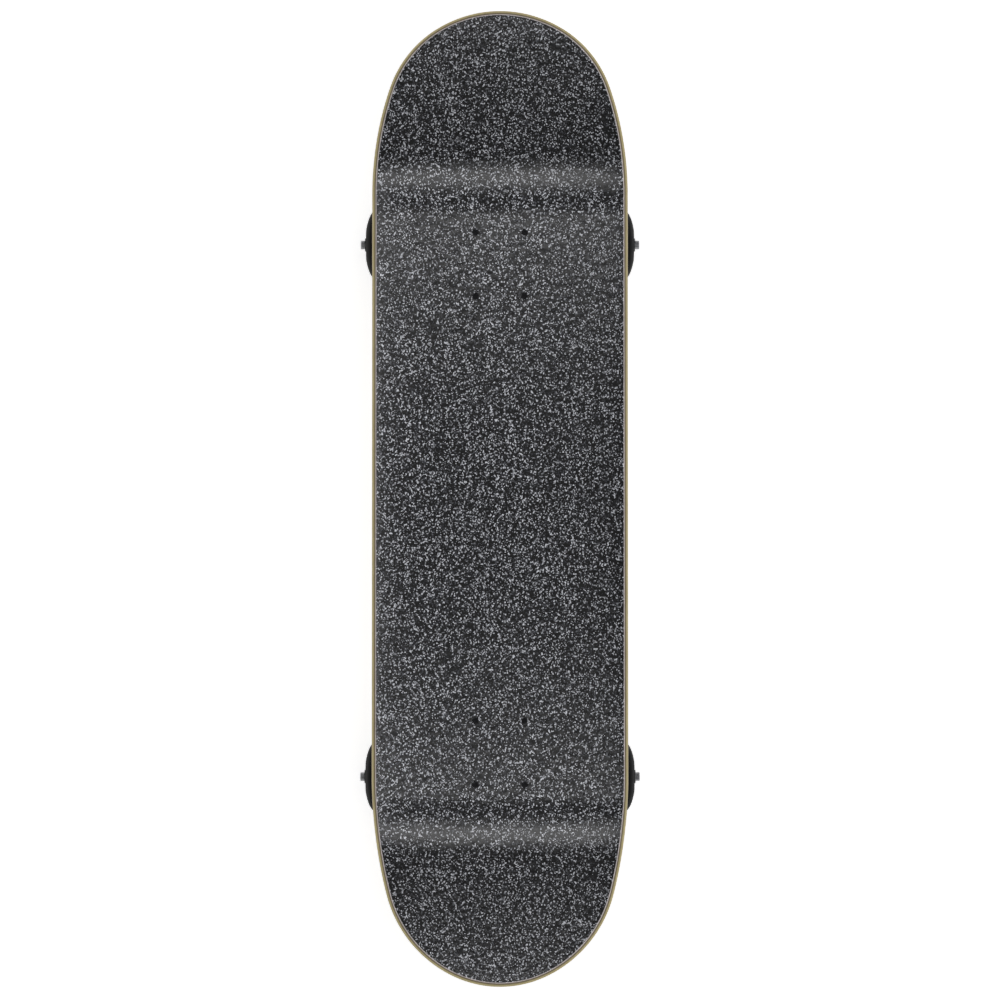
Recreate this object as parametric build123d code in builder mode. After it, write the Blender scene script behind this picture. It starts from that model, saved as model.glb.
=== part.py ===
from build123d import *
import os
from math import acos, asin, degrees, radians, sin, tan

# Skateboard, in millimetres. X runs along the deck towards the nose, Y runs along the axles
# and Z is up. The wheels stand on Z = 0, midway between the two tips of the deck.

# ---- Driving dimensions: deck ----
deck_width = 215.9
nose_reach = 180.6  # outer bolts to the nose tip, seen from above
tail_reach = 166.0  # outer bolts to the tail tip, seen from above
wheelbase = 358.8  # inner bolts to inner bolts
ply_thickness = 1.5
ply_count = 7
grip_thickness = 0.9
edge_radius = 3.0  # rounding of the deck's two rims; the grip stops where it starts
concave_flat = 62.0  # flat strip along the middle of the section
rail_rise = 9.5  # height of the top rim over the flat strip
kick_radius = 150.0  # bend of the underside where each kick starts
nose_angle = 21.0
tail_angle = 20.0
nose_kick_gap = 14.0  # outer bolts to the start of the kick
tail_kick_gap = 10.0
nose_tip_arc = (104.0, 29.0)  # radius and turn of the outline's arc at the tip
nose_side_arc = (258.0, 20.0)  # radius and turn where the outline leaves the rail
tail_tip_arc = (93.0, 27.0)
tail_side_arc = (378.0, 15.0)
shell_margin = 11.5  # the pressed shell's reach past the rails before it is cut out

# ---- Driving dimensions: truck bolts ----
bolt_spacing_long = 53.975
bolt_spacing_wide = 41.275
bolt_diameter = 4.76
bolt_past_nut = 4.1
bolt_tip_bevel = 0.5
bolt_head_diameter = 9.2
bolt_key_flats = 3.2
bolt_key_depth = 1.6
bolt_nut_flats = 9.5
bolt_nut_height = 6.0
bolt_nut_collar = 1.2
nut_collar_step = 0.6  # the nylon collar's edge, in from the nut's flats
nut_bevel_angle = 30.0
grip_hole_diameter = 5.2

# ---- Driving dimensions: base of the truck ----
riser_thickness = 3.0
riser_border = 1.0  # riser's border beyond the baseplate
baseplate_length = 84.0
baseplate_width = 55.0
baseplate_thickness = 5.0
baseplate_corner = 9.0
baseplate_rim = 1.25
truck_height = 54.0  # top of the baseplate to the axle
axle_forward = 22.5  # axle's place outboard of the bolt pattern's centre
kingpin_forward = 1.8  # where the kingpin's axis meets the top of the baseplate
kingpin_tilt = 25.0
kingpin_diameter = 9.5
kingpin_head_flats = 14.3
kingpin_head_height = 5.0
kingpin_head_sink = 4.4  # top of the baseplate to the head, along the kingpin
kingpin_seat = 19.2  # top of the baseplate to the boss's seat, along the kingpin
kingpin_nut_height = 7.5
kingpin_nut_collar = 1.5
kingpin_thread_end = 2.0  # thread past the nut
kingpin_tip_bevel = 1.2
boss_radius = 15.0
boss_draft = 2.5  # how much wider the boss is at its root
pivot_forward = 29.5
pivot_drop = 13.0
pivot_ball_radius = 6.0
pivot_neck_step = 1.0  # the nose behind the ball is this much thinner than it
pivot_nose_length = 9.0  # ball centre to where the nose bends into the stem
pivot_root_radius = 9.0
pivot_cup_wall = 2.2
pivot_cup_depth = 5.0  # ball centre to the cup's mouth
pivot_cup_flare = 1.35  # how much wider the cup's mouth is than its ball seat
pivot_boss_wall = 3.5

# ---- Driving dimensions: bushings and hanger ----
washer_thickness = 1.5
washer_lip = 1.2
bushing_radius = 12.2
boardside_bushing_height = 15.0
roadside_bushing_height = 11.0
roadside_bushing_tip = 9.6
roadside_bushing_skirt = 2.75  # straight stretch at the hanger's ring
bushing_past_lip = 1.2  # straight stretch of its tip past the washer's lip
ring_thickness = 8.0
ring_wall = 3.55  # wall round each bushing's seat
ring_rim = 1.5  # depth of each bushing's seat
ring_bore_gap = 2.25  # room for the kingpin to lean in the ring
hanger_half_length = 84.35
hanger_shoulder_radius = 7.5
hanger_shoulder_length = 8.0
hanger_end_radius = 10.5
hanger_end_bevel = 2.0
hanger_middle_radius = 13.5
hanger_middle_half = 24.0  # half length of the thick middle
web_half_width = 34.0
spine_width = 9.0
spine_knee = 17.0  # from the top of the stem down to the top of the spine

# ---- Driving dimensions: axle, bearings and wheels ----
axle_diameter = 7.94
axle_past_nut = 3.7
axle_tip_bevel = 0.66
axle_washer_thickness = 0.8
axle_washer_inset = 0.3  # the washer's edge, in from the bearing's inner ring
axle_nut_flats = 12.7
axle_nut_height = 6.4
axle_nut_collar = 1.3
bearing_diameter = 22.0
bearing_width = 7.0
bearing_chamfer = 0.3
bearing_spacing = 10.0  # between the two bearings of a wheel
ball_diameter = 3.969
ball_count = 7
groove_depth = 0.68
cage_wall = 1.5
cage_near = 1.2  # cage's reach from the balls' centres on its open side
cage_far = 2.7
shield_thickness = 0.4
shield_inset = 0.1
shield_gap = 0.3  # shield's edge to the inner ring
shield_seat = 0.3  # how deep the shield's edge sits in the outer ring
spacer_wall = 1.6
wheel_radius = 30.0
wheel_half_width = 19.2  # to the top of the domed face
wheel_dome = 10.0  # depth of the domed face
wheel_lip_wall = 2.4  # bearing's seat to the lip round the domed face
wheel_lip_width = 0.8
wheel_lip_bevel = 0.2
wheel_mouth_depth = 3.0  # lip to the start of the bearing's seat
wheel_ledge_reach = 0.2  # ledge between the bearings, in from their outer rings

# ---- Clearances ----
bolt_clearance = 0.12
head_clearance = 0.1
seat_gap = 0.01  # light press, as cast or pushed home
running_gap = 0.05
ball_gap = 0.02
ring_gap = 0.03  # bearing's bore round the axle
pocket_gap = 0.15

# ---- Worked out from the above ----
deck_thickness = ply_thickness * ply_count
deck_length = nose_reach + tail_reach + wheelbase + 2 * bolt_spacing_long
nose_tip = deck_length / 2
tail_tip = -deck_length / 2
nose_truck = nose_tip - nose_reach - bolt_spacing_long / 2
tail_truck = tail_tip + tail_reach + bolt_spacing_long / 2
bolt_length = deck_thickness + riser_thickness + baseplate_thickness + bolt_nut_height + bolt_past_nut
base_top = wheel_radius + truck_height
deck_bottom = base_top + riser_thickness
deck_top = deck_bottom + deck_thickness
concave_run = (deck_width - concave_flat) / 2
concave_radius = (concave_run**2 + rail_rise**2) / (2 * rail_rise)

os.makedirs("parts", exist_ok=True)


def write(part, name):
    """Name a finished piece and write it."""
    part.label = name
    export_step(part, f"parts/{name}.step")


def flat_profile(plane, *points):
    """Face with straight sides through points on a plane."""
    with BuildSketch(plane) as face:
        with BuildLine():
            Polyline(*points, close=True)
        make_face()
    return face.sketch


# ---- Deck: seven plies pressed into one curved shell ----

with BuildLine(Plane.XZ) as spine:
    middle = Line((tail_truck - bolt_spacing_long / 2 - tail_kick_gap, deck_bottom),
                  (nose_truck + bolt_spacing_long / 2 + nose_kick_gap, deck_bottom))
    nose_bend = JernArc(middle @ 1, (1, 0), kick_radius, nose_angle)
    Line(nose_bend @ 1, nose_bend @ 1 + (nose_bend % 1) * nose_reach)
    tail_bend = JernArc(middle @ 0, (-1, 0), kick_radius, -tail_angle)
    Line(tail_bend @ 1, tail_bend @ 1 + (tail_bend % 1) * tail_reach)
spine_wire = spine.wires()[0]
spine_start = Plane(origin=spine_wire @ 0, x_dir=Vector(0, 0, 1).cross(spine_wire % 0),
                    z_dir=spine_wire % 0)


def shell(low, high):
    """Concave sheet between two heights over the underside, swept along the whole deck."""
    centre = (concave_flat / 2, deck_thickness + concave_radius)
    outer_radius = concave_radius + deck_thickness
    spread = degrees(asin((concave_run + shell_margin) / outer_radius))
    with BuildSketch(spine_start) as section:
        with BuildLine():
            Line((0, low), (concave_flat / 2, low))
            under = CenterArc(centre, outer_radius - low, 270, spread)
            over = CenterArc(centre, outer_radius - high, 270, spread)
            Line(under @ 1, over @ 1)
            Line((concave_flat / 2, high), (0, high))
            Line((0, high), (0, low))
        make_face()
        mirror(about=Plane.YZ)
    with BuildPart() as sheet:
        sweep(sections=section.sketch, path=spine_wire)
    return sheet.part


def end_arcs(tip, turn, tip_arc, side_arc):
    """Three tangent arcs from a tip to the rail; the middle one is as large as the width asks."""
    corner_turn = 90 - tip_arc[1] - side_arc[1]
    before = sin(radians(tip_arc[1]))
    after = sin(radians(tip_arc[1] + corner_turn))
    left = deck_width / 2 - tip_arc[0] * before - side_arc[0] * (1 - after)
    corner_radius = left / (after - before)
    first = JernArc((tip, 0), (0, 1), tip_arc[0], turn * tip_arc[1])
    second = JernArc(first @ 1, first % 1, corner_radius, turn * corner_turn)
    third = JernArc(second @ 1, second % 1, side_arc[0], turn * side_arc[1])
    return [first, second, third]


with BuildSketch() as outline:
    with BuildLine():
        nose_arcs = end_arcs(nose_tip, 1, nose_tip_arc, nose_side_arc)
        tail_arcs = end_arcs(tail_tip, -1, tail_tip_arc, tail_side_arc)
        add(nose_arcs + tail_arcs)
        Line(nose_arcs[2] @ 1, tail_arcs[2] @ 1)
        Line((nose_tip, 0), (tail_tip, 0))
    make_face()
    mirror(about=Plane.XZ)

with BuildSketch() as grip_outline:
    add(outline.sketch)
    offset(amount=-edge_radius)

bolt_pattern = GridLocations(bolt_spacing_long, bolt_spacing_wide, 2, 2).locations
bolt_places = [Location((truck, 0, 0)) * place for truck in (nose_truck, tail_truck)
               for place in bolt_pattern]
bolt_bore = bolt_diameter / 2 + bolt_clearance
upright = 0.01  # a face whose normal is this near level is a side wall

with BuildPart() as deck:
    add(shell(0, deck_thickness))
    extrude(outline.sketch, amount=2 * deck_length, mode=Mode.INTERSECT)
    walls = deck.faces().filter_by(lambda face: abs(face.normal_at().Z) < upright)
    fillet(walls.edges().filter_by(Axis.Z, reverse=True), edge_radius)
    with Locations(*[Location((0, 0, deck_top)) * place for place in bolt_places]):
        CounterSinkHole(bolt_bore, bolt_head_diameter / 2 + head_clearance,
                        depth=2 * deck_thickness, counter_sink_angle=90)

for number in range(ply_count):
    with BuildPart() as ply:
        add(deck.part)
        add(shell(number * ply_thickness, (number + 1) * ply_thickness), mode=Mode.INTERSECT)
    write(ply.part, f"deck_ply_{number + 1}")

with BuildPart() as grip_tape:
    add(shell(deck_thickness, deck_thickness + grip_thickness))
    extrude(grip_outline.sketch, amount=2 * deck_length, mode=Mode.INTERSECT)
    with Locations(*[Location((0, 0, deck_top + grip_thickness)) * p for p in bolt_places]):
        Hole(grip_hole_diameter / 2, depth=2 * grip_thickness)
write(grip_tape.part, "grip_tape")

# ---- Truck bolts and nuts: eight of each, flat heads under the grip ----

with BuildPart() as mounting_bolt:
    revolve(flat_profile(Plane.XZ, (0, 0), (bolt_head_diameter / 2, 0),
                         (bolt_diameter / 2, -(bolt_head_diameter - bolt_diameter) / 2),
                         (bolt_diameter / 2, -bolt_length + bolt_tip_bevel),
                         (bolt_diameter / 2 - bolt_tip_bevel, -bolt_length),
                         (0, -bolt_length)), axis=Axis.Z)
    with BuildSketch():
        RegularPolygon(bolt_key_flats / 2, 6, major_radius=False)
    extrude(amount=-bolt_key_depth, mode=Mode.SUBTRACT)

with BuildPart() as mounting_bolts:
    for place in bolt_places:
        add(mounting_bolt.part.moved(Location((0, 0, deck_top)) * place))
write(mounting_bolts.part, "mounting_bolts")


def lock_nut(flats, height, collar, bore):
    """Hexagon nut with its round nylon collar, standing on the XY plane."""
    bevel_height = flats / 2 * tan(radians(nut_bevel_angle))
    with BuildPart() as nut:
        with BuildSketch():
            RegularPolygon(flats / 2, 6, major_radius=False)
        extrude(amount=height - collar)
        bevel = revolve(flat_profile(Plane.XZ, (flats / 2, 0), (flats, 0), (flats, bevel_height)),
                        axis=Axis.Z, mode=Mode.PRIVATE)
        add(bevel, mode=Mode.SUBTRACT)
        with BuildSketch(Plane.XY.offset(height - collar)):
            Circle(flats / 2 - nut_collar_step)
        extrude(amount=collar)
        Hole(bore)
    return nut.part


bolt_nut = lock_nut(bolt_nut_flats, bolt_nut_height, bolt_nut_collar, bolt_diameter / 2 + seat_gap)
with BuildPart() as mounting_nuts:
    for place in bolt_places:
        under_plate = Location((0, 0, base_top - baseplate_thickness), (180, 0, 0))
        add(bolt_nut.moved(place * under_plate))
write(mounting_nuts.part, "mounting_nuts")

# ---- Truck: every piece is made in the truck's own frame, whose origin is the middle of the
# bolt pattern on top of the baseplate, with X outboard. The two trucks stand back to back. ----

down_kingpin = Vector(0, 0, -1).rotate(Axis.Y, kingpin_tilt)
kingpin_top = Vector(kingpin_forward, 0, 0)
kingpin_frame = Plane(origin=kingpin_top, x_dir=Vector(1, 0, 0).rotate(Axis.Y, kingpin_tilt),
                      z_dir=(0, 1, 0))
kingpin_axis = Axis(kingpin_top, down_kingpin)
boardside_bushing_top = kingpin_seat + washer_thickness
ring_top = boardside_bushing_top + boardside_bushing_height
ring_bottom = ring_top + ring_thickness
roadside_bushing_end = ring_bottom + roadside_bushing_height
nut_top = roadside_bushing_end + washer_thickness
kingpin_end = nut_top + kingpin_nut_height + kingpin_thread_end
ring_centre = kingpin_top + down_kingpin * ((ring_top + ring_bottom) / 2)
axle_centre = Vector(axle_forward, 0, -truck_height)
pivot_centre = Vector(pivot_forward, 0, -pivot_drop)
down_pivot = (ring_centre - pivot_centre).normalized()
pivot_frame = Plane(origin=pivot_centre, x_dir=down_pivot.rotate(Axis.Y, -90), z_dir=(0, 1, 0))
pivot_axis = Axis(pivot_centre, down_pivot)
stem_top = pivot_centre + down_pivot * pivot_nose_length
down_stem = (axle_centre - stem_top).normalized()
stem_length = (axle_centre - stem_top).length
stem_frame = Plane(origin=stem_top, x_dir=down_stem.rotate(Axis.Y, -90), z_dir=(0, 1, 0))
neck_radius = pivot_ball_radius - pivot_neck_step
ring_radius = bushing_radius + running_gap + ring_wall
kingpin_bore = kingpin_diameter / 2 + bolt_clearance
cup_radius = pivot_ball_radius + running_gap + pivot_cup_wall
truck_places = {
    "nose": Location((nose_truck, 0, base_top)),
    "tail": Location((tail_truck, 0, base_top), (0, 0, 180)),
}


def down_the_kingpin(distance):
    """Plane across the kingpin, facing down it, at a distance from the top of the baseplate."""
    return Plane(origin=kingpin_top + down_kingpin * distance, x_dir=(0, 1, 0),
                 z_dir=down_kingpin)


def round_nosed(radius, length):
    """Cylinder from the pivot's centre towards the ring's, with a half ball at its start."""
    with BuildPart() as plug:
        with BuildSketch(pivot_frame):
            with BuildLine():
                CenterArc((0, 0), radius, 270, 90)
                Polyline((radius, 0), (radius, length), (0, length), (0, -radius))
            make_face()
        revolve(axis=pivot_axis)
    return plug.part


with BuildSketch() as plate_outline:
    RectangleRounded(baseplate_length, baseplate_width, baseplate_corner)

with BuildPart() as riser_pad:
    with BuildSketch():
        add(plate_outline.sketch)
        offset(amount=riser_border)
        with GridLocations(bolt_spacing_long, bolt_spacing_wide, 2, 2):
            Circle(bolt_bore, mode=Mode.SUBTRACT)
    extrude(amount=riser_thickness)

with BuildPart() as baseplate:
    extrude(plate_outline.sketch, amount=-baseplate_thickness)
    fillet(baseplate.faces().sort_by(Axis.Z)[0].edges(), baseplate_rim)
    root = boss_radius + boss_draft
    revolve(flat_profile(kingpin_frame, (0, -root), (root, -root), (root, baseplate_thickness),
                         (boss_radius, kingpin_seat), (0, kingpin_seat)), axis=kingpin_axis)
    add(round_nosed(cup_radius + pivot_boss_wall, pivot_cup_depth))
    split(bisect_by=Plane.XY, keep=Keep.BOTTOM)
    with BuildSketch(down_the_kingpin(-root)):
        RegularPolygon(kingpin_head_flats / 2 + pocket_gap, 6, major_radius=False)
    extrude(amount=root + kingpin_head_sink + kingpin_head_height, mode=Mode.SUBTRACT)
    with BuildSketch(down_the_kingpin(0)):
        Circle(kingpin_bore)
    extrude(amount=2 * kingpin_seat, mode=Mode.SUBTRACT)
    add(round_nosed(cup_radius + seat_gap, 2 * pivot_cup_depth), mode=Mode.SUBTRACT)
    with GridLocations(bolt_spacing_long, bolt_spacing_wide, 2, 2):
        Hole(bolt_bore, depth=2 * baseplate_thickness)

with BuildPart() as pivot_cup:
    add(round_nosed(cup_radius, pivot_cup_depth))
    ball_seat = pivot_ball_radius + running_gap
    with Locations(pivot_centre):
        Sphere(ball_seat, mode=Mode.SUBTRACT)
    revolve(flat_profile(pivot_frame, (0, 0), (ball_seat, 0),
                         (ball_seat + pivot_cup_flare, pivot_cup_depth),
                         (0, pivot_cup_depth)), axis=pivot_axis, mode=Mode.SUBTRACT)

with BuildPart() as kingpin:
    with BuildSketch(down_the_kingpin(kingpin_head_sink)):
        RegularPolygon(kingpin_head_flats / 2, 6, major_radius=False)
    extrude(amount=kingpin_head_height)
    shank = kingpin_diameter / 2
    revolve(flat_profile(kingpin_frame, (0, kingpin_head_sink), (shank, kingpin_head_sink),
                         (shank, kingpin_end - kingpin_tip_bevel),
                         (shank - kingpin_tip_bevel, kingpin_end),
                         (0, kingpin_end)), axis=kingpin_axis)

with BuildPart() as kingpin_nut:
    nut = lock_nut(kingpin_head_flats, kingpin_nut_height, kingpin_nut_collar,
                   kingpin_diameter / 2 + seat_gap)
    add(nut.moved(down_the_kingpin(nut_top).location))


def cupped_washer(seat, toward, cup):
    """Washer on the kingpin whose lip holds a bushing's edge; toward is the lip's direction."""
    rim = cup + running_gap
    back = seat - toward * washer_thickness
    lip = seat + toward * washer_lip
    return flat_profile(kingpin_frame, (kingpin_bore, back), (rim + washer_thickness, back),
                        (rim + washer_thickness, lip), (rim, lip), (rim, seat),
                        (kingpin_bore, seat))


with BuildPart() as boardside_washer:
    revolve(cupped_washer(boardside_bushing_top, 1, bushing_radius), axis=kingpin_axis)

with BuildPart() as roadside_washer:
    revolve(cupped_washer(roadside_bushing_end, -1, roadside_bushing_tip), axis=kingpin_axis)

with BuildPart() as boardside_bushing:
    revolve(flat_profile(kingpin_frame, (kingpin_bore, boardside_bushing_top),
                         (bushing_radius, boardside_bushing_top), (bushing_radius, ring_top),
                         (kingpin_bore, ring_top)), axis=kingpin_axis)

with BuildPart() as roadside_bushing:
    revolve(flat_profile(kingpin_frame, (kingpin_bore, ring_bottom),
                         (bushing_radius, ring_bottom),
                         (bushing_radius, ring_bottom + roadside_bushing_skirt),
                         (roadside_bushing_tip,
                          roadside_bushing_end - washer_lip - bushing_past_lip),
                         (roadside_bushing_tip, roadside_bushing_end),
                         (kingpin_bore, roadside_bushing_end)), axis=kingpin_axis)

axle_axis = Axis(axle_centre, (0, 1, 0))
axle_frame = Plane(origin=axle_centre, x_dir=(1, 0, 0), z_dir=(0, 0, 1))
web_reach = (axle_centre - ring_centre).dot(kingpin_frame.x_dir)
shoulder = hanger_half_length - hanger_shoulder_length

with BuildPart() as hanger:
    with BuildSketch(axle_frame):
        with BuildLine():
            Line((0, 0), (hanger_middle_radius, 0))
            Line((hanger_middle_radius, 0), (hanger_middle_radius, hanger_middle_half))
            Spline((hanger_middle_radius, hanger_middle_half), (hanger_end_radius, shoulder),
                   tangents=((0, 1), (0, 1)))
            Line((hanger_end_radius, shoulder),
                 (hanger_shoulder_radius, shoulder + hanger_end_bevel))
            Line((hanger_shoulder_radius, shoulder + hanger_end_bevel),
                 (hanger_shoulder_radius, hanger_half_length))
            Line((hanger_shoulder_radius, hanger_half_length), (0, hanger_half_length))
            Line((0, hanger_half_length), (0, 0))
        make_face()
        mirror(about=Plane.XZ)
    revolve(axis=axle_axis)
    with BuildSketch(Plane(origin=ring_centre - down_kingpin * (ring_thickness / 2),
                           x_dir=kingpin_frame.x_dir, z_dir=down_kingpin)) as web:
        Circle(ring_radius)
        with Locations((web_reach, 0)):
            Rectangle(hanger_middle_radius, 2 * web_half_width)
        make_hull()
    extrude(amount=ring_thickness)
    revolve(flat_profile(kingpin_frame, (0, ring_top - ring_rim), (ring_radius, ring_top - ring_rim),
                         (ring_radius, ring_bottom + ring_rim), (0, ring_bottom + ring_rim)),
            axis=kingpin_axis)
    add(round_nosed(neck_radius, pivot_nose_length))
    with Locations(pivot_centre):
        Sphere(pivot_ball_radius)
    with Locations(stem_top):
        Sphere(neck_radius)
    revolve(flat_profile(stem_frame, (0, 0), (neck_radius, 0),
                         (pivot_root_radius, stem_length - hanger_middle_radius),
                         (0, stem_length)), axis=Axis(stem_top, down_stem))
    knee = stem_top + down_stem * spine_knee
    with BuildSketch(Plane.XZ):
        with BuildLine():
            Polyline((axle_centre.X, axle_centre.Z), (knee.X, knee.Z),
                     (ring_centre.X + ring_radius, ring_centre.Z), close=True)
        make_face()
    extrude(amount=spine_width / 2, both=True)
    for seat, depth in ((ring_top, -ring_rim), (ring_bottom, ring_rim)):
        with BuildSketch(down_the_kingpin(seat)):
            Circle(bushing_radius + running_gap)
        extrude(amount=2 * depth, mode=Mode.SUBTRACT)
    with BuildSketch(down_the_kingpin(ring_top - ring_thickness)):
        Circle(kingpin_diameter / 2 + ring_bore_gap)
    extrude(amount=3 * ring_thickness, mode=Mode.SUBTRACT)
    with BuildSketch(Plane(origin=axle_centre, x_dir=(1, 0, 0), z_dir=(0, 1, 0))):
        Circle(axle_diameter / 2 + seat_gap)
    extrude(amount=2 * hanger_half_length, both=True, mode=Mode.SUBTRACT)

axle_stack = (axle_washer_thickness + bearing_width + bearing_spacing + bearing_width
              + axle_washer_thickness + axle_nut_height)
axle_half_length = hanger_half_length + axle_stack + axle_past_nut
axle_radius = axle_diameter / 2

with BuildPart() as axle:
    with BuildSketch(Plane(origin=axle_centre, x_dir=(1, 0, 0), z_dir=(0, 1, 0))):
        Circle(axle_radius)
    extrude(amount=axle_half_length, both=True)
    chamfer(axle.edges().filter_by(GeomType.CIRCLE), axle_tip_bevel)

# ---- Wheel set: every piece is made about Z, with its outboard side up ----

bearing_bore = axle_diameter + 2 * ring_gap
pitch_radius = (bearing_diameter + bearing_bore) / 4
ball_radius = ball_diameter / 2
ball_groove = ball_radius + ball_gap
inner_ring_radius = pitch_radius - ball_radius + groove_depth
outer_ring_inner_radius = pitch_radius + ball_radius - groove_depth
shield_radius = outer_ring_inner_radius + shield_seat
half_width = bearing_width / 2
shield_face = half_width - shield_inset


def turned_ring(inner, outer, corner):
    """Half section of a ring about Z, as wide as a bearing, with its corners broken."""
    return flat_profile(Plane.XZ, (inner + corner, -half_width), (outer - corner, -half_width),
                        (outer, corner - half_width), (outer, half_width - corner),
                        (outer - corner, half_width), (inner + corner, half_width),
                        (inner, half_width - corner), (inner, corner - half_width))


with BuildPart() as bearing_inner_ring:
    revolve(turned_ring(bearing_bore / 2, inner_ring_radius, bearing_chamfer), axis=Axis.Z)
    Torus(pitch_radius, ball_groove, mode=Mode.SUBTRACT)

with BuildPart() as bearing_outer_ring:
    revolve(turned_ring(outer_ring_inner_radius, bearing_diameter / 2, bearing_chamfer), axis=Axis.Z)
    Torus(pitch_radius, ball_groove, mode=Mode.SUBTRACT)
    step = shield_inset + shield_thickness
    with Locations((0, 0, half_width - step / 2), (0, 0, step / 2 - half_width)):
        Cylinder(shield_radius + seat_gap, step, mode=Mode.SUBTRACT)

with BuildPart() as bearing_shield_pair:
    with Locations((0, 0, shield_face - shield_thickness / 2),
                   (0, 0, shield_thickness / 2 - shield_face)):
        Cylinder(shield_radius, shield_thickness)
        Cylinder(inner_ring_radius + shield_gap, shield_thickness, mode=Mode.SUBTRACT)

with BuildPart() as ball_ring:
    with PolarLocations(pitch_radius, ball_count):
        Sphere(ball_radius)

with BuildPart() as bearing_cage:
    with BuildSketch(Plane.XY.offset(-cage_near)):
        Circle(pitch_radius + cage_wall / 2)
        Circle(pitch_radius - cage_wall / 2, mode=Mode.SUBTRACT)
    extrude(amount=cage_near + cage_far)
    with PolarLocations(pitch_radius, ball_count):
        Sphere(ball_radius + pocket_gap, mode=Mode.SUBTRACT)

with BuildPart() as axle_washer:
    Cylinder(inner_ring_radius - axle_washer_inset, axle_washer_thickness)
    Hole(bearing_bore / 2)

with BuildPart() as spacer:
    Cylinder(bearing_bore / 2 + spacer_wall, bearing_spacing)
    Hole(bearing_bore / 2)

tread_half = wheel_half_width - wheel_dome
seat_radius = bearing_diameter / 2 + seat_gap
wheel_lip_radius = seat_radius + wheel_lip_wall
wheel_ledge_radius = outer_ring_inner_radius - wheel_ledge_reach
lip_angle = degrees(acos(wheel_lip_radius / wheel_radius))
lip_height = tread_half + wheel_dome * sin(radians(lip_angle))

with BuildPart() as wheel:
    with BuildSketch(Plane.XZ):
        with BuildLine():
            EllipticalCenterArc((0, tread_half), wheel_radius, wheel_dome, start_angle=0,
                                arc_size=lip_angle)
            Polyline((wheel_lip_radius, lip_height),
                     (wheel_lip_radius - wheel_lip_width, lip_height - wheel_lip_bevel),
                     (seat_radius, lip_height - wheel_mouth_depth),
                     (seat_radius, bearing_spacing / 2),
                     (wheel_ledge_radius, bearing_spacing / 2), (wheel_ledge_radius, 0),
                     (wheel_radius, 0), (wheel_radius, tread_half))
        make_face()
        mirror(about=Plane.XZ)
    revolve(axis=Axis.Z)

stack_start = hanger_half_length + axle_washer_thickness
wheel_middle = stack_start + bearing_width + bearing_spacing / 2
bearing_offset = (bearing_spacing + bearing_width) / 2
nut_seat = wheel_middle + 2 * bearing_offset - bearing_spacing / 2 + axle_washer_thickness
washer_offset = wheel_middle - hanger_half_length - axle_washer_thickness / 2
axle_nut = lock_nut(axle_nut_flats, axle_nut_height, axle_nut_collar, axle_radius + seat_gap)
axle_places = {"nose": nose_truck + axle_forward, "tail": tail_truck - axle_forward}
wheel_sides = {"left": 1, "right": -1}


def on_axle(end, side, distance):
    """Place on an axle at a distance from its middle, facing outboard."""
    outboard = wheel_sides[side]
    return Plane(origin=(axle_places[end], outboard * distance, wheel_radius),
                 x_dir=(1, 0, 0), z_dir=(0, outboard, 0)).location


truck_pieces = {
    "riser_pad": riser_pad,
    "baseplate": baseplate,
    "pivot_cup": pivot_cup,
    "kingpin": kingpin,
    "kingpin_nut": kingpin_nut,
    "boardside_washer": boardside_washer,
    "roadside_washer": roadside_washer,
    "boardside_bushing": boardside_bushing,
    "roadside_bushing": roadside_bushing,
    "hanger": hanger,
    "axle": axle,
}

for end, truck_place in truck_places.items():
    for piece_name, piece in truck_pieces.items():
        write(piece.part.moved(truck_place), f"{end}_{piece_name}")

    with BuildPart() as inner_rings:
        for side in wheel_sides:
            for offset_out in (-bearing_offset, bearing_offset):
                add(bearing_inner_ring.part.moved(on_axle(end, side, wheel_middle + offset_out)))
    write(inner_rings.part, f"{end}_bearing_inner_rings")

    with BuildPart() as spacers:
        for side in wheel_sides:
            add(spacer.part.moved(on_axle(end, side, wheel_middle)))
    write(spacers.part, f"{end}_bearing_spacers")

    with BuildPart() as axle_washers:
        for side in wheel_sides:
            for offset_out in (-washer_offset, washer_offset):
                add(axle_washer.part.moved(on_axle(end, side, wheel_middle + offset_out)))
    write(axle_washers.part, f"{end}_axle_washers")

    with BuildPart() as axle_nuts:
        for side in wheel_sides:
            add(axle_nut.moved(on_axle(end, side, nut_seat)))
    write(axle_nuts.part, f"{end}_axle_nuts")

    for side in wheel_sides:
        write(wheel.part.moved(on_axle(end, side, wheel_middle)), f"{end}_{side}_wheel")
        for piece_name, piece in (("bearing_outer_rings", bearing_outer_ring),
                                  ("bearing_shields", bearing_shield_pair),
                                  ("bearing_balls", ball_ring),
                                  ("bearing_cages", bearing_cage)):
            with BuildPart() as pair:
                for offset_out in (-bearing_offset, bearing_offset):
                    add(piece.part.moved(on_axle(end, side, wheel_middle + offset_out)))
            write(pair.part, f"{end}_{side}_{piece_name}")
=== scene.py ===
import math

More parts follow.
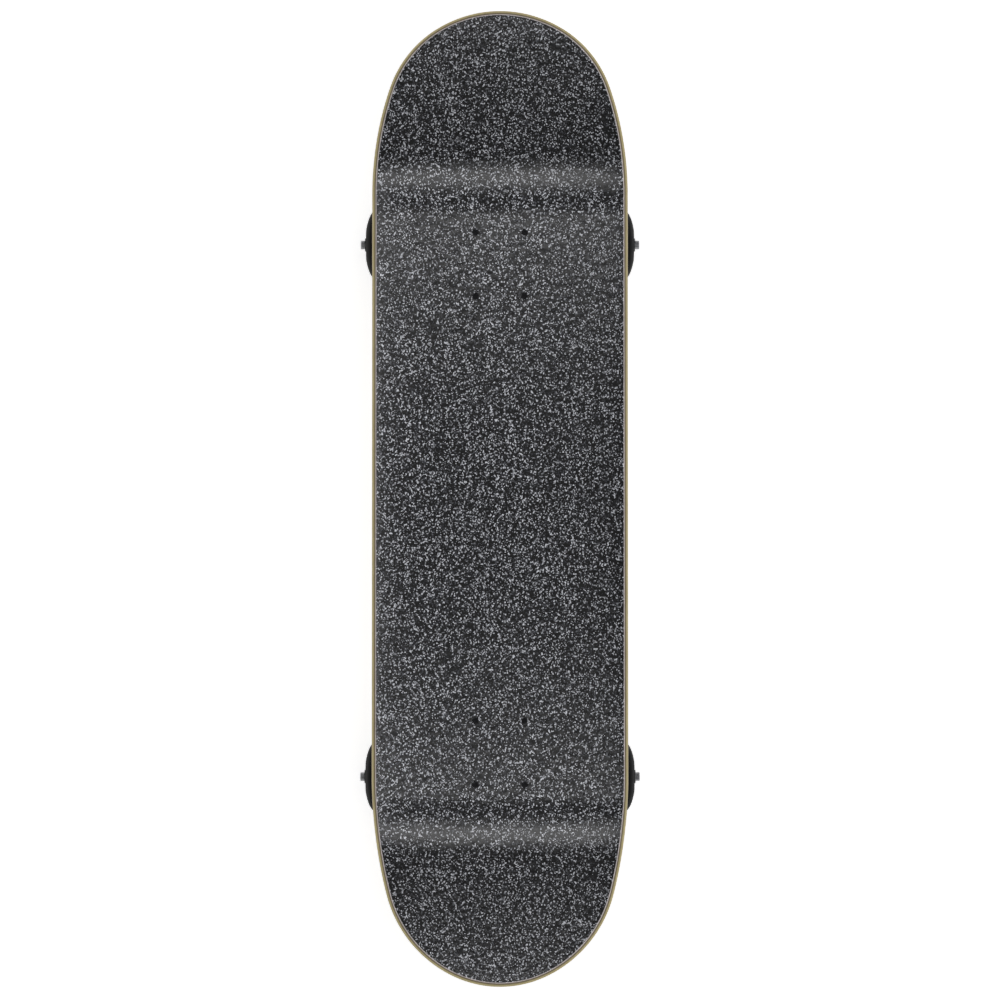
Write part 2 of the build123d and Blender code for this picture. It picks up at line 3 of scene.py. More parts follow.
import bmesh
import bpy
import numpy as np
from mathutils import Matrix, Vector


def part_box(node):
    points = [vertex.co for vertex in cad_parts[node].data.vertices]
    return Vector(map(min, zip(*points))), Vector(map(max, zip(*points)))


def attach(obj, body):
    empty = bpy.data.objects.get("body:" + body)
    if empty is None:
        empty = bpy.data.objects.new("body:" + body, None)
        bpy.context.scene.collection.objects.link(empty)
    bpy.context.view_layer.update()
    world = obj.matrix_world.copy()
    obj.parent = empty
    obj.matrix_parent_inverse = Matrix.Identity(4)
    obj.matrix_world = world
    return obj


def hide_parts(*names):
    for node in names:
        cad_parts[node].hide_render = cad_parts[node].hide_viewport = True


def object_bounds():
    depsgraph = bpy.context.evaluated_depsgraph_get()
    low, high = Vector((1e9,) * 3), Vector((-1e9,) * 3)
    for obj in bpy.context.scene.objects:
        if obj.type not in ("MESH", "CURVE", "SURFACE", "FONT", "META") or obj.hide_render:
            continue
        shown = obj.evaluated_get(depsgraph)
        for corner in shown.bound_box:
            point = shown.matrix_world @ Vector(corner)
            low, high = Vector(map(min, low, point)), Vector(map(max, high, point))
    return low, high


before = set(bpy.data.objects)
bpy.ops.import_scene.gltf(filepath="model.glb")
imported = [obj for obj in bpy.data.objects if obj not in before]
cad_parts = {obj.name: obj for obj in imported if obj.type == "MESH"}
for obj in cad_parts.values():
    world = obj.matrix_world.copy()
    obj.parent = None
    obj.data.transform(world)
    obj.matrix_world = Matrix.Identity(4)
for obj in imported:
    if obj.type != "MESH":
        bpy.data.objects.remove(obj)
cad_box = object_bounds()

# ---- Studio ----
# A white sweep of floor, the board on it, and a long lens looking straight down from above
# with the nose at the top. A soft strip beyond each kick makes its bend shine; a third fills
# one side.

middle = (cad_box[0] + cad_box[1]) / 2
eye_height = 3.605
view_width = 0.8417  # what the view spans at the height of the rails
rail_height = 0.108
eye_set_back = 0.105  # towards the tail
aim_offset = 0.0008  # the view's centre, tailwards of the board's

camera = bpy.data.objects.new("camera", bpy.data.cameras.new("camera"))
bpy.context.collection.objects.link(camera)
camera.location = (middle.x - eye_set_back - aim_offset, middle.y, eye_height)
camera.rotation_euler = (math.atan2(eye_set_back, eye_height - rail_height), 0, -math.pi / 2)
camera.data.lens = camera.data.sensor_width * (eye_height - rail_height) / view_width
camera.data.clip_end = 20
bpy.context.scene.camera = camera
bpy.context.scene.view_settings.view_transform = "Standard"


def soft_light(name, place, aim, size, power):
    """Rectangular studio light at a place, facing a point; size is its two sides in metres."""
    lamp = bpy.data.lights.new(name, "AREA")
    lamp.shape = "RECTANGLE"
    lamp.size, lamp.size_y = size
    lamp.energy = power
    light = bpy.data.objects.new(name, lamp)
    bpy.context.collection.objects.link(light)
    light.location = place
    away = np.array(place) - np.array(aim)
    tilt, heading = math.atan2(math.hypot(away[0], away[1]), away[2]), math.atan2(away[1], away[0])
    light.rotation_euler = (tilt, 0, heading + math.pi / 2)


soft_light("nose_strip", (0.79, 0, 2.6), (-0.27, 0, 0.1), (2.4, 0.55), 14.5)
soft_light("tail_strip", (-0.67, 0, 2.6), (0.27, 0, 0.1), (2.4, 0.55), 12.5)
soft_light("side_fill", (0, -1.5, 2.6), (0, 0.1, 0.1), (1.6, 0.5), 9)

class Field:
    """A number, colour or vector that varies over a surface. Arithmetic adds Math nodes."""

    def __init__(self, nodes, socket):
        self.nodes, self.socket = nodes, socket

    def math(self, operation, *values):
        return self.nodes.node("ShaderNodeMath", {"operation": operation}, list(values))

    def __add__(self, other):
        return self.math("ADD", self, other)

    def __sub__(self, other):
        return self.math("SUBTRACT", self, other)

    def __rsub__(self, other):
        return self.math("SUBTRACT", other, self)

    def __mul__(self, other):
        return self.math("MULTIPLY", self, other)

    def fade(self, start, end):
        """0 at start and 1 at end, smoothly between."""
        return self.nodes.node("ShaderNodeMapRange", {"interpolation_type": "SMOOTHSTEP"},
                               {"Value": self, "From Min": start, "From Max": end})


class Nodes:
    """A node tree, to which node() adds."""

    def __init__(self, tree):
        self.tree = tree

    def node(self, kind, settings, inputs, output=0):
        """Add a node: its settings first, then the values or fields of its sockets."""
        made = self.tree.nodes.new(kind)
        for key, value in settings.items():
            if key == "stops":
                ramp = made.color_ramp
                while len(ramp.elements) < len(value):
                    ramp.elements.new(0.5)
                for element, (position, colour) in zip(ramp.elements, value):
                    element.position, element.color = position, (*colour, 1)
            else:
                setattr(made, key, value)
        for key, value in inputs.items() if isinstance(inputs, dict) else enumerate(inputs):
            if isinstance(value, Field):
                self.tree.links.new(value.socket, made.inputs[key])
            else:
                made.inputs[key].default_value = value
        return Field(self, made.outputs[output])


class Finish(Nodes):
    """A material: constants go on its shader, and node() adds what varies."""

    def __init__(self, name, **constants):
        self.name = name
        self.material = bpy.data.materials.new(name)
        self.material.use_nodes = True
        super().__init__(self.material.node_tree)
        self.shader = self.tree.nodes["Principled BSDF"]
        for key, value in constants.items():
            socket = key.replace("_", " ").title().replace("Ior", "IOR")
            self.shader.inputs[socket].default_value = value
        self.place = self.node("ShaderNodeTexCoord", {}, {}, "Object")

    def noise(self, scale, detail=2.0, roughness=0.5, stretch=(1, 1, 1)):
        """Cloudy noise of a number of lumps per metre, stretched along the axes."""
        spread = self.node("ShaderNodeMapping", {}, {"Vector": self.place, "Scale": stretch})
        return self.node("ShaderNodeTexNoise", {}, {"Vector": spread, "Scale": scale,
                                                    "Detail": detail, "Roughness": roughness})

    def mix(self, factor, first, second):
        """Colour going from first to second as factor goes from 0 to 1."""
        first = first if isinstance(first, Field) else (*first, 1)
        second = second if isinstance(second, Field) else (*second, 1)
        return self.node("ShaderNodeMix", {"data_type": "RGBA"},
                         {0: factor, 6: first, 7: second}, 2)

    def ramp(self, value, stops):
        """Colour read off a ramp at a value from 0 to 1."""
        return self.node("ShaderNodeValToRGB", {"stops": stops}, {"Fac": value})

    def bump(self, height, depth):
        """Relief whose height field of 0 to 1 stands depth metres tall."""
        relief = self.node("ShaderNodeBump", {}, {"Height": height, "Distance": depth,
                                                  "Strength": 1.0})
        self.tree.links.new(relief.socket, self.shader.inputs["Normal"])

    def set(self, socket, value):
        """Let a field drive one of the shader's sockets."""
        self.tree.links.new(value.socket, self.shader.inputs[socket])


horizon_glow, overhead_glow = 0.85, 0.06
overhead_from = 0.7  # the sine of the elevation where the overhead glow starts
world = bpy.data.worlds.new("studio")
world.use_nodes = True
room = Nodes(world.node_tree)
direction = room.node("ShaderNodeTexCoord", {}, {}, "Generated")
rise = room.node("ShaderNodeSeparateXYZ", {}, {"Vector": direction}, "Z")
glow = room.node("ShaderNodeMapRange", {}, {"Value": rise, "From Max": overhead_from,
                                            "To Min": horizon_glow, "To Max": overhead_glow})
background = world.node_tree.nodes["Background"]
background.inputs["Color"].default_value = (1, 1, 1, 1)
world.node_tree.links.new(glow.socket, background.inputs["Strength"])
bpy.context.scene.world = world

floor_pale, floor_paler = (0.86, 0.86, 0.86), (0.88, 0.88, 0.88)
floor_half = 6.0
floor_finish = Finish("white_floor", base_color=(*floor_pale, 1), roughness=0.9,
                      emission_color=(1, 1, 1, 1), emission_strength=0.68)
floor_shade = floor_finish.noise(1.5)
floor_finish.set("Base Color", floor_finish.mix(floor_shade, floor_pale, floor_paler))
floor_mesh = bpy.data.meshes.new("floor")
floor_mesh.from_pydata([(-floor_half, -floor_half, 0), (floor_half, -floor_half, 0),
                        (floor_half, floor_half, 0), (-floor_half, floor_half, 0)],
                       [], [(0, 1, 2, 3)])
floor = bpy.data.objects.new("floor", floor_mesh)
bpy.context.collection.objects.link(floor)
floor.data.materials.append(floor_finish.material)

# ---- Deck plies ----
# Seven maple veneers glued and pressed in a mould: a flat strip down the middle, rails that
# curve up, and a kick bent up at each end. The rims are routed round and sanded.

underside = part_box("deck_ply_1")[0].z
deck_low, deck_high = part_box("deck_ply_4")
deck_half_width = deck_high.y
ply_count = 7
ply_thickness = 0.0015
deck_thickness = ply_count * ply_thickness
edge_radius = 0.003
flat_half = 0.031
rail_rise = 0.0095
rail_run = deck_half_width - flat_half
rail_radius = (rail_run**2 + rail_rise**2) / (2 * rail_rise)
kick_radius = 0.150
nose_angle, tail_angle = math.radians(21), math.radians(20)
bolt_head_radius = 0.0046
bolts_low, bolts_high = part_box("mounting_bolts")
nose_bolts, tail_bolts = bolts_high.x - bolt_head_radius, bolts_low.x + bolt_head_radius
nose_kick, tail_kick = nose_bolts + 0.014, tail_bolts - 0.010  # where each bend starts
nose_arcs = ((0.104, 29), (0.258, 20))  # tip and side arcs: radius, degrees it turns
tail_arcs = ((0.093, 27), (0.378, 15))
row_step = 0.0027
ply_columns = (24, 24)  # steps across the lower and the upper face
wall_levels = 7


def end_outline(tip, facing, tip_arc, side_arc, step):
    """Outline and outward normals from a tip to the rail: three tangent arcs, whose normals
    turn from along X to along Y. The middle arc's radius is what reaches the rail."""
    turns = np.radians([0, tip_arc[1], 90 - side_arc[1], 90])
    sines = np.sin(turns)
    corner = deck_half_width - tip_arc[0] * sines[1] - side_arc[0] * (1 - sines[2])
    radii = [tip_arc[0], corner / (sines[2] - sines[1]), side_arc[0]]
    centre = np.array([tip - facing * radii[0], 0.0])
    points, normals = [], []
    for number, radius in enumerate(radii):
        start, end = turns[number:number + 2]
        if number:
            towards = np.array([facing * math.cos(start), math.sin(start)])
            centre = centre + (radii[number - 1] - radius) * towards
        count = max(2, round(radius * (end - start) / step))
        angle = np.linspace(start, end, count, endpoint=False)
        normal = np.stack([facing * np.cos(angle), np.sin(angle)], 1)
        points.append(centre + radius * normal)
        normals.append(normal)
    return np.concatenate(points), np.concatenate(normals)


def deck_outline(step):
    """Left half of the outline from tail tip to nose tip, as points and outward normals."""
    nose, nose_normal = end_outline(deck_high.x, 1, *nose_arcs, step)
    tail, tail_normal = end_outline(deck_low.x, -1, *tail_arcs, step)
    first, last = tail[-1][0] + step, nose[-1][0] - step
    count = round((last - first) / step)
    rail = np.arange(count + 1) / count
    rail = np.stack([first + rail * (last - first), np.full(len(rail), deck_half_width)], 1)
    rail_normal = np.tile([0.0, 1.0], (len(rail), 1))
    return (np.concatenate([tail, rail, nose[::-1]]),
            np.concatenate([tail_normal, rail_normal, nose_normal[::-1]]))


def deck_height(x, y, level):
    """Height of the pressed sheet that lies level metres over the underside. Across the deck
    it is a flat strip and two concentric arcs; along it that section is bent round a circle
    at each kick, so a point of the section at height h turns on the radius kick_radius - h."""
    out = np.maximum(np.abs(y) - flat_half, 0)
    arc = rail_radius + deck_thickness - level
    over = deck_thickness + rail_radius - np.sqrt(arc**2 - out**2)
    turn = kick_radius - over
    z = underside + over
    for start, facing, angle in ((nose_kick, 1, nose_angle), (tail_kick, -1, tail_angle)):
        along = np.maximum(facing * (x - start), 0)
        bent = np.minimum(along, turn * math.sin(angle))
        z = z + turn - np.sqrt(turn**2 - bent**2) + (along - bent) * math.tan(angle)
    return z


def rim_inset(level):
    """How far the rounded rim stands in from the outline at a level over the underside."""
    near = np.maximum(edge_radius - np.minimum(level, deck_thickness - level), 0)
    return edge_radius - np.sqrt(edge_radius**2 - near**2)


def add_piece(name, points, faces, rim=None):
    """Mesh object at the origin from vertices and faces, its doubles merged, facing out.
    rim gives each vertex its distance in from the outline, for the materials to read."""
    mesh = bpy.data.meshes.new(name)
    mesh.from_pydata(points.reshape(-1, 3), [], faces)
    if rim is not None:
        layer = mesh.attributes.new("rim", "FLOAT", "POINT")
        layer.data.foreach_set("value", rim.ravel().astype(np.float32))
    shape = bmesh.new()
    shape.from_mesh(mesh)
    bmesh.ops.remove_doubles(shape, verts=shape.verts, dist=1e-6)
    bmesh.ops.recalc_face_normals(shape, faces=shape.faces)
    if shape.calc_volume(signed=True) < 0:
        bmesh.ops.reverse_faces(shape, faces=shape.faces)
    shape.to_mesh(mesh)
    shape.free()
    piece = bpy.data.objects.new(name, mesh)
    bpy.context.collection.objects.link(piece)
    return piece


def dress(piece, finish):
    """Give a whole piece one finish."""
    piece.data.materials.clear()
    piece.data.materials.append(finish.material)


def shade(piece, sharp=40):
    """Smooth shading with creases sharper than an angle in degrees."""
    piece.data.shade_smooth()
    piece.data.set_sharp_from_angle(angle=math.radians(sharp))


def loop_faces(rows, columns):
    """Quads of a grid of rows of closed loops."""
    row, column = np.meshgrid(np.arange(rows - 1), np.arange(columns), indexing="ij")
    beside = (column + 1) % columns
    return np.stack([row * columns + column, row * columns + beside,
                     (row + 1) * columns + beside, (row + 1) * columns + column], -1).reshape(-1, 4)


def deck_shell(name, step, wall, columns, jitter=None):
    """Closed sheet that follows the deck. Each row is a loop across the deck: out along the
    wall's first level, up its (inset, level) steps, back along its last and down the far
    side. jitter gives heights to add to the left half of the upper face."""
    outline, normals = deck_outline(step)
    low, high = wall[0], wall[-1]
    loop = []
    for share in np.linspace(-1, 1, columns[0] + 1):
        edge = outline - low[0] * normals
        loop.append((edge[:, 0], share * edge[:, 1], np.full(len(edge), low[1])))
    for inset, level in wall[1:-1]:
        edge = outline - inset * normals
        loop.append((edge[:, 0], edge[:, 1], np.full(len(edge), level)))
    for share in np.linspace(1, -1, columns[1] + 1):
        edge = outline - high[0] * normals
        level = np.full(len(edge), high[1])
        if jitter is not None and abs(share) < 1:
            level = level + jitter(len(edge)) * (edge[:, 1] > 0)
        loop.append((edge[:, 0], share * edge[:, 1], level))
    for inset, level in wall[-2:0:-1]:
        edge = outline - inset * normals
        loop.append((edge[:, 0], -edge[:, 1], np.full(len(edge), level)))
    x, y, level = (np.stack([part[axis] for part in loop], 1) for axis in range(3))
    y[0], y[-1] = 0, 0
    points = np.stack([x, y, deck_height(x, y, level)], -1)
    insets = [inset for inset, level in wall]
    rim = ([low[0]] * (columns[0] + 1) + insets[1:-1] + [high[0]] * (columns[1] + 1)
           + insets[-2:0:-1])
    return add_piece(name, points, loop_faces(*x.shape).tolist(), np.tile(rim, (len(x), 1)))


bolt_rows_apart, bolt_columns_apart = 0.053975, 0.041275
bolt_spots = [(x, y) for end, side in ((nose_bolts, -1), (tail_bolts, 1))
              for x in (end, end + side * bolt_rows_apart)
              for y in (-bolt_columns_apart / 2, bolt_columns_apart / 2)]
hole_border = 0.008


def drill(piece, profile):
    """Cut the eight bolt holes: each cutter is a (radius, height) profile turned about its
    bolt. The rim distance of the new vertices round a hole is set to that of the middle."""
    sides = 40
    angle = np.linspace(0, 2 * math.pi, sides, endpoint=False)
    radius, height = (np.array(part)[:, None] for part in zip(*profile))
    ring = np.stack([radius * np.cos(angle), radius * np.sin(angle), height + 0 * angle], -1)
    points = np.concatenate([ring.reshape(-1, 3) + (x, y, 0) for x, y in bolt_spots])
    one = loop_faces(len(profile), sides).tolist()
    one += [list(range(sides)), list(range((len(profile) - 1) * sides, len(profile) * sides))]
    faces = [[v + number * len(profile) * sides for v in face]
             for number in range(len(bolt_spots)) for face in one]
    cutter = add_piece("cutter", points, faces)
    cut = piece.modifiers.new("bolt_holes", "BOOLEAN")
    cut.solver, cut.object = "MANIFOLD", cutter
    cut_mesh = bpy.data.meshes.new_from_object(
        piece.evaluated_get(bpy.context.evaluated_depsgraph_get()))
    piece.modifiers.clear()
    piece.data = cut_mesh
    cut_mesh.name = piece.name
    bpy.data.objects.remove(cutter)
    place = np.empty((len(cut_mesh.vertices), 3), np.float32)
    cut_mesh.vertices.foreach_get("co", place.ravel())
    inset = np.empty(len(place), np.float32)
    cut_mesh.attributes["rim"].data.foreach_get("value", inset)
    gap = np.linalg.norm(place[:, None, :2] - np.array(bolt_spots), axis=2).min(axis=1)
    inset[gap < hole_border] = deck_half_width
    cut_mesh.attributes["rim"].data.foreach_set("value", inset)


deck_top = underside + deck_thickness
bolt_bore, sink_radius = 0.0025, 0.0047
below_cut, above_cut = 0.01, 0.002  # how far a cutter reaches past the deck's faces
ply_profile = [(bolt_bore, underside - below_cut),
               (bolt_bore, deck_top - (sink_radius - bolt_bore)), (sink_radius, deck_top),
               (sink_radius + above_cut, deck_top + above_cut)]
# dark brown where the grip stops: old glue and dust, with the shade under the grip's edge painted
# in
glue_and_painted_shade = (0.13, 0.095, 0.06)


def maple_finish(name, pale, dark, line):
    """Maple sanded through its layers: long fibres along X, pores, and a dark line where the
    grip stops: old glue and dust, with the shade under the grip's edge painted in."""
    finish = Finish(name, roughness=0.5, specular_ior_level=0.35)
    fibre = finish.noise(700, 3, 0.6, (0.06, 1, 3))
    pores = finish.noise(2400, 2, 0.5, (0.12, 1, 3))
    cloud = finish.noise(22, 2, 0.5, (0.4, 1, 1))
    veneer = finish.mix(fibre.fade(0.3, 0.7), dark, pale)
    veneer = finish.mix(pores.fade(0.58, 0.72) * 0.4, veneer, [part * 0.45 for part in dark])
    veneer = finish.mix(cloud.fade(0.45, 0.75) * 0.3, veneer, dark)
    rim = finish.node("ShaderNodeAttribute", {"attribute_name": "rim"}, {}, "Fac")
    # towards the faces the rim turns to that dark brown: painted shade under the grip's edge, with
    # old glue and dust
    finish.set("Base Color", finish.mix(rim.fade(0.0013, 0.0024) * line, veneer, glue_and_painted_shade))
    finish.set("Roughness", fibre * 0.2 + 0.4)
    finish.bump(fibre, 0.00005)
    return finish


face_maple = maple_finish("maple_face", (0.60, 0.52, 0.27), (0.47, 0.395, 0.195), 0.85)
core_maple = maple_finish("maple_core", (0.60, 0.50, 0.31), (0.45, 0.365, 0.21), 0)
dyed_maple = maple_finish("maple_dyed", (0.23, 0.135, 0.075), (0.14, 0.08, 0.045), 0)
ply_finishes = {1: face_maple, 2: dyed_maple, 5: dyed_maple, 7: face_maple}

for number in range(1, ply_count + 1):
    low, high = (number - 1) * ply_thickness, number * ply_thickness
    finish = ply_finishes.get(number, core_maple)
    wall = [(rim_inset(level), level) for level in np.linspace(low, high, wall_levels)]
    ply = deck_shell(f"ply_{number}", row_step, wall, ply_columns)
    drill(ply, ply_profile)
    shade(ply)
    dress(ply, finish)
    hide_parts(f"deck_ply_{number}")
    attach(ply, "board")

# ---- Grip ----
# One sheet of paper coated with black silicon carbide grit, stuck over the whole deck, cut
# round with a knife after its edge was filed, so the rim shows a pale worn line.

grip_thickness = 0.0009
grain_step = 0.00165
grain_height = 0.00013
grain_low, grain_high = -1, 0.3  # shares of grain_height
grip_columns = (26, 128)
grip_hole = 0.0026
grip_edge = [(0, 0), (0, 0.0003), (0.0004, 0.00075), (0.0008, grip_thickness),
             (0.0013, grip_thickness)]  # the filed slope: (in from the rounding, up)
rng = np.random.default_rng(7)
grip_wall = [(edge_radius + inset, deck_thickness + level) for inset, level in grip_edge]
grip = deck_shell("grip", grain_step, grip_wall, grip_columns,
                  lambda count: grain_height * rng.uniform(grain_low, grain_high, count))
drill(grip, [(grip_hole, deck_top - above_cut), (grip_hole, deck_top + 2 * above_cut)])
grip.data.shade_smooth()

grit = Finish("grit", roughness=0.6, specular_ior_level=0.05, coat_weight=0.9,
              coat_roughness=0.22)
cells = grit.node("ShaderNodeTexVoronoi", {}, {"Vector": grit.place, "Scale": 1080.0}, "Color")
cell = grit.node("ShaderNodeSeparateColor", {}, {"Color": cells}, 0)
fine = grit.noise(2100, 1, 0.5)
patch = grit.noise(26, 3, 0.6)
grain = cell * 0.85 + fine * 0.15 + (patch - 0.5) * 0.06
speckle = grit.ramp(grain, [
    (0.22, (0.0001, 0.0001, 0.0002)), (0.44, (0.0012, 0.0013, 0.0018)),
    (0.61, (0.0095, 0.0098, 0.0125)), (0.76, (0.066, 0.069, 0.080)), (0.90, (0.66, 0.67, 0.72))])
filed_colour = (0.86, 0.78, 0.78)
rim = grit.node("ShaderNodeAttribute", {"attribute_name": "rim"}, {}, "Fac")
filed = 1 - rim.fade(edge_radius + 0.0005, edge_radius + 0.0009)
grit.set("Base Color", grit.mix(filed * (cell * 0.3 + 0.7), speckle, filed_colour))
grit.set("Metallic", grain.fade(0.45, 0.65))
grit.set("Roughness", cell * 0.1 + 0.45)
grit.bump(cell, 0.00008)
dress(grip, grit)
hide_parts("grip_tape")
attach(grip, "board")

# ---- Truck bolts and nuts ----
# Eight black flat-head bolts pull the trucks up against the deck, with nylon-collared lock
# nuts of bright zinc below. Grip grit rubs their heads grey.

black_oxide = Finish("black_oxide", roughness=0.45, metallic=1.0)
wear = black_oxide.noise(600, 3)
black_oxide.set("Base Color", black_oxide.mix(wear.fade(0.5, 0.8) * 0.5, (0.012, 0.012, 0.013),
                                              (0.08, 0.08, 0.085)))
black_oxide.set("Roughness", wear * 0.3 + 0.3)


def dress_all(finish, *endings):
    """Give a finish to every CAD node whose name ends in one of some endings."""
    for name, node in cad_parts.items():
        if name.endswith(endings):
            dress(node, finish)


dress_all(black_oxide, "mounting_bolts")


def plated_finish(name, tint, roughness, scale=900):
    """Plated or ground steel: faint cloudy tarnish, fine scratches and speckled pits."""
    finish = Finish(name, roughness=roughness, metallic=1.0)
    cloud = finish.noise(120, 3, 0.6)
    scratch = finish.noise(scale, 2, 0.6, (0.15, 1, 1))
    pits = finish.noise(2600, 1)
    finish.set("Base Color", finish.mix(cloud.fade(0.35, 0.75) * 0.45, tint,
                                        [part * 0.6 for part in tint]))
    finish.set("Roughness", cloud * 0.16 + scratch * 0.14 + (roughness - 0.15))
    finish.bump(scratch * 0.6 + pits * 0.4, 0.00002)
    return finish


zinc = plated_finish("bright_zinc", (0.62, 0.63, 0.66), 0.33)
dress_all(zinc, "mounting_nuts")

# ---- Risers ----
# A thin pad of black rubber under each truck, die cut to the baseplate's outline with a
# small border. It takes up the shock and shows a dull moulded skin.

rubber = Finish("riser_rubber", roughness=0.7, specular_ior_level=0.3)
skin = rubber.noise(1400, 2)
dust = rubber.noise(60, 4, 0.6)
rubber.set("Base Color", rubber.mix(dust.fade(0.45, 0.8) * 0.5, (0.014, 0.014, 0.015),
                                    (0.05, 0.048, 0.045)))
rubber.set("Roughness", skin * 0.3 + 0.5)
rubber.bump(skin, 0.00005)
dress_all(rubber, "riser_pad")

# ---- Baseplates ----
# Sand-cast aluminium, shot-blasted and left raw: a pebbled grey skin with darker cloudy
# stains.

cast = Finish("blasted_aluminium", roughness=0.5, metallic=1.0)
pebbles = cast.noise(1500, 3, 0.6)
stain = cast.noise(45, 3, 0.6)
cast.set("Base Color", cast.mix(stain.fade(0.4, 0.75) * 0.5, (0.56, 0.565, 0.58),
                                (0.36, 0.365, 0.38)))
cast.set("Roughness", pebbles * 0.25 + 0.36)
cast.bump(pebbles, 0.00012)
dress_all(cast, "baseplate")

# ---- Pivot cups and bushings ----
# Poured urethane: black cups that the hanger's nose turns in, and black bushings that spring
# the steering. A satin skin with a faint bloom.

urethane = Finish("black_urethane", roughness=0.45, specular_ior_level=0.3)
bloom = urethane.noise(90, 4, 0.6)
skin = urethane.noise(1100, 2)
urethane.set("Base Color", urethane.mix(bloom.fade(0.45, 0.8) * 0.6, (0.012, 0.012, 0.013),
                                        (0.034, 0.034, 0.037)))
urethane.set("Roughness", bloom * 0.25 + 0.32)
urethane.bump(skin, 0.00003)
dress_all(urethane, "cup", "bushing")

# ---- Hangers ----
# Cast in aluminium with the axle inside, then polished on a wheel: bright, with fine
# directional scratches along the barrel and darker cloudy smears.

polished = Finish("polished_aluminium", roughness=0.25, metallic=1.0)
brush = polished.noise(1600, 2, 0.6, (1, 0.06, 1))
smear = polished.noise(55, 4, 0.6)
pits = polished.noise(1900, 1)
polished.set("Base Color", polished.mix(smear.fade(0.35, 0.85) * 0.3, (0.69, 0.695, 0.71),
                                        (0.54, 0.545, 0.56)))
polished.set("Roughness", smear * 0.08 + brush * 0.14 + 0.18)
polished.bump(brush * 0.7 + pits.fade(0.66, 0.74) * 0.3, 0.00002)
dress_all(polished, "hanger")

# ---- Kingpins, washers and axles ----
# Zinc-plated kingpins, their nuts and cupped washers; ground steel axles, threaded at the
# ends, with a thin washer each side of every bearing pair.

dress_all(zinc, "kingpin", "kingpin_nut", "boardside_washer", "roadside_washer")
ground_steel = plated_finish("ground_steel", (0.44, 0.445, 0.46), 0.36)
dress_all(ground_steel, "axle_washers")
axle_sides, rows_per_turn = 48, 10


def threaded_bar(name, centre, along, half_length, radius, bevel, pitch, depth, thread):
    """Round bar about a centre, threaded at both ends. Its radius is cut by a triangle wave of
    (distance / pitch - turn), which winds once round the bar each pitch, fading in where the
    thread starts; bevelled tips are closed by flat ends."""
    fine_rows = np.arange(half_length - thread, half_length, pitch / rows_per_turn)
    rows = np.concatenate([[-half_length], -fine_rows[::-1], fine_rows, [half_length]])
    turn = np.linspace(0, 1, axle_sides, endpoint=False)
    tooth = np.abs(2 * ((rows[:, None] / pitch - turn[None]) % 1) - 1)
    inward = half_length - np.abs(rows)
    cut = depth * np.clip((thread - inward) / pitch, 0, 1)[:, None] * tooth
    tip = np.maximum(bevel - inward, 0)[:, None]
    size = np.minimum(radius - cut, radius - tip)
    side = np.cross(along, (0, 0, 1.0))
    side = side / np.linalg.norm(side)
    other = np.cross(along, side)
    round_part = (np.cos(2 * np.pi * turn)[None, :, None] * side
                  + np.sin(2 * np.pi * turn)[None, :, None] * other)
    points = centre + rows[:, None, None] * np.array(along) + size[..., None] * round_part
    faces = loop_faces(len(rows), axle_sides).tolist()
    faces += [list(range(axle_sides)),
              list(range((len(rows) - 1) * axle_sides, len(rows) * axle_sides))]
    bar = add_piece(name, points, faces)
    shade(bar, 50)
    return bar


def axle_centre(end):
    """Middle of an end's axle."""
    low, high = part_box(f"{end}_axle")
    return (np.array(low) + np.array(high)) / 2


tip_bevel = 0.00066
thread_pitch, thread_depth, thread_length = 0.00106, 0.00045, 0.012
for end in ("nose", "tail"):
    low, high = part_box(f"{end}_axle")
    bar = threaded_bar(f"{end}_threaded_axle", axle_centre(end), (0, 1.0, 0),
                       (high.y - low.y) / 2, (high.z - low.z) / 2, tip_bevel,
                       thread_pitch, thread_depth, thread_length)
    dress(bar, ground_steel)
    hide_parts(f"{end}_axle")
    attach(bar, f"{end}_truck")

# ---- Axle nuts ----
# Zinc-plated lock nuts that hold the wheels on. A collar of black nylon in the outer end
# grips the thread.

collar_inner, collar_outer = 0.0014, 0.0012  # how deep in from the end its colour fades
for end in ("nose", "tail"):
    nut_finish = Finish(f"{end}_axle_nut_finish", roughness=0.35)
    side = nut_finish.node("ShaderNodeSeparateXYZ", {}, {"Vector": nut_finish.place}, "Y")
    nut_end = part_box(f"{end}_axle_nuts")[1].y
    collar = side.math("ABSOLUTE", side).fade(nut_end - collar_inner, nut_end - collar_outer)
    haze = nut_finish.noise(300, 3)
    plating = nut_finish.mix(haze, (0.5, 0.505, 0.52), (0.36, 0.365, 0.38))
    nut_finish.set("Base Color", nut_finish.mix(collar, plating, (0.03, 0.03, 0.034)))
    nut_finish.set("Metallic", 1 - collar)
    nut_finish.set("Roughness", haze * 0.2 + 0.25)
    dress_all(nut_finish, f"{end}_axle_nuts")

# ---- Bearings ----
# Chrome steel rings and balls in nylon cages, closed by black rubber shields with a raised
# ring, on turned aluminium spacers.

chrome = plated_finish("bearing_steel", (0.66, 0.665, 0.68), 0.2)
dress_all(chrome, "balls", "rings")
nylon = Finish("cage_nylon", roughness=0.45)
cloud = nylon.noise(500, 2)
nylon.set("Base Color", nylon.mix(cloud, (0.62, 0.58, 0.46), (0.74, 0.71, 0.60)))
nylon.bump(cloud, 0.00002)
dress_all(nylon, "cages")
turned = plated_finish("turned_aluminium", (0.66, 0.665, 0.68), 0.3)
dress_all(turned, "spacers")


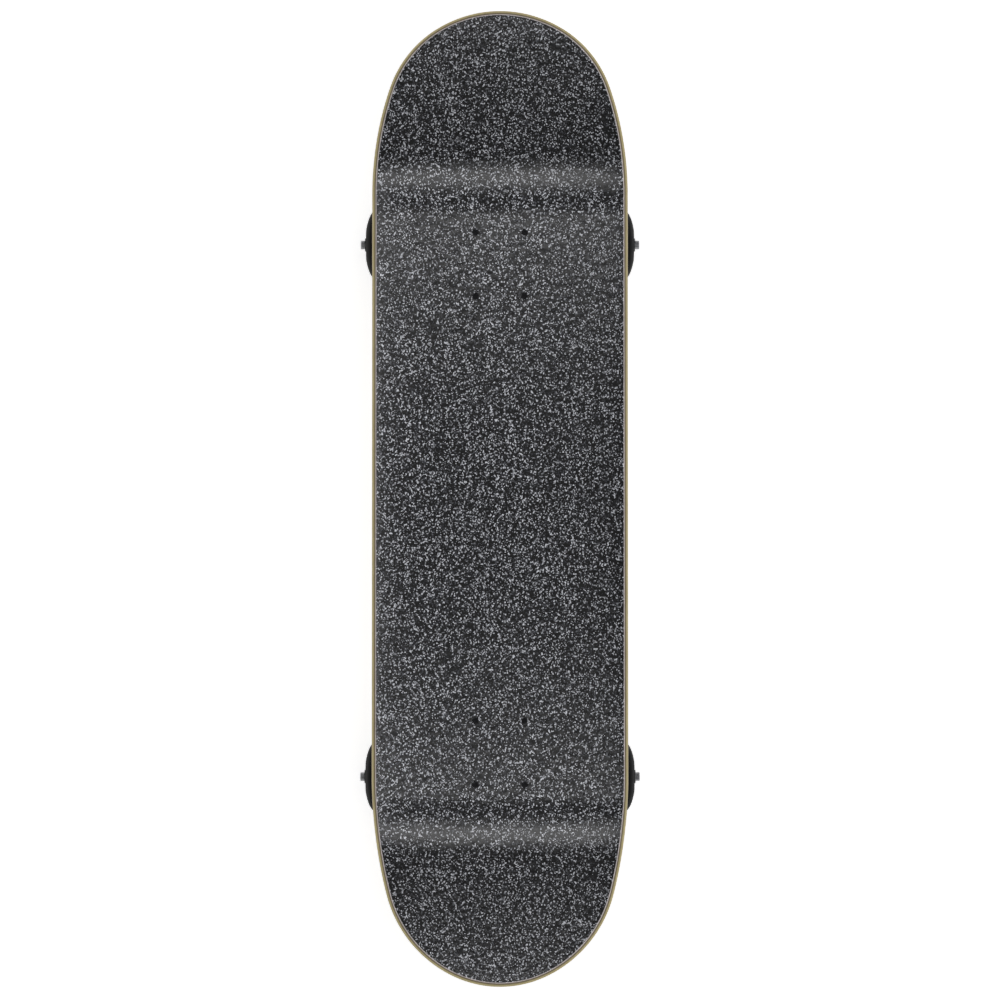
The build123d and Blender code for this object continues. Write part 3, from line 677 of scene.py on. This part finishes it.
def radius_from(finish, centre):
    """Distance from an axle's line through a centre, running along Y."""
    across = finish.node("ShaderNodeVectorMath", {"operation": "SUBTRACT"},
                         {0: finish.place, 1: tuple(centre)})
    flat = finish.node("ShaderNodeVectorMath", {"operation": "MULTIPLY"}, {0: across, 1: (1, 0, 1)})
    return finish.node("ShaderNodeVectorMath", {"operation": "LENGTH"}, {0: flat}, "Value")


rib_inner, rib_outer = (0.0072, 0.0074), (0.0081, 0.0083)  # radii where its two flanks fade
for end in ("nose", "tail"):
    shield_finish = Finish(f"{end}_shield_rubber", roughness=0.5, specular_ior_level=0.35)
    radius = radius_from(shield_finish, axle_centre(end))
    rib = radius.fade(*rib_inner) - radius.fade(*rib_outer)
    dust = shield_finish.noise(300, 3)
    shield_finish.set("Base Color", shield_finish.mix(
        dust.fade(0.5, 0.8) * 0.5, (0.012, 0.012, 0.013), (0.045, 0.043, 0.04)))
    shield_finish.bump(rib, 0.00025)
    for wheel_side in ("left", "right"):
        dress_all(shield_finish, f"{end}_{wheel_side}_bearing_shields")

# ---- Wheels ----
# Cast black urethane, turned on a lathe: satin faces with faint lathe rings, and a tread
# that is scuffed dull where it rolls.

ring_waves = 9000  # radians a metre, so the lathe rings are 0.7 mm apart
tread_start, tread_full = 0.0288, 0.0298
for end in ("nose", "tail"):
    wheel_finish = Finish(f"{end}_wheel_urethane", roughness=0.5, specular_ior_level=0.02)
    radius = radius_from(wheel_finish, axle_centre(end))
    grime = wheel_finish.noise(70, 4, 0.6)
    rings = radius.math("SINE", radius * ring_waves) * 0.5 + 0.5
    scuff = wheel_finish.noise(900, 3, 0.6, (1, 0.5, 1)) * radius.fade(tread_start, tread_full)
    black = wheel_finish.mix(grime.fade(0.45, 0.85) * 0.5, (0.0022, 0.002, 0.0022),
                             (0.007, 0.0068, 0.0068))
    wheel_finish.set("Base Color", wheel_finish.mix(
        scuff.fade(0.3, 0.8) * 0.5, black, (0.02, 0.0195, 0.0185)))
    wheel_finish.set("Roughness", grime * 0.2 + scuff * 0.3 + 0.42)
    wheel_finish.bump(rings * 0.4 + scuff, 0.00003)
    for wheel_side in ("left", "right"):
        dress_all(wheel_finish, f"{end}_{wheel_side}_wheel")
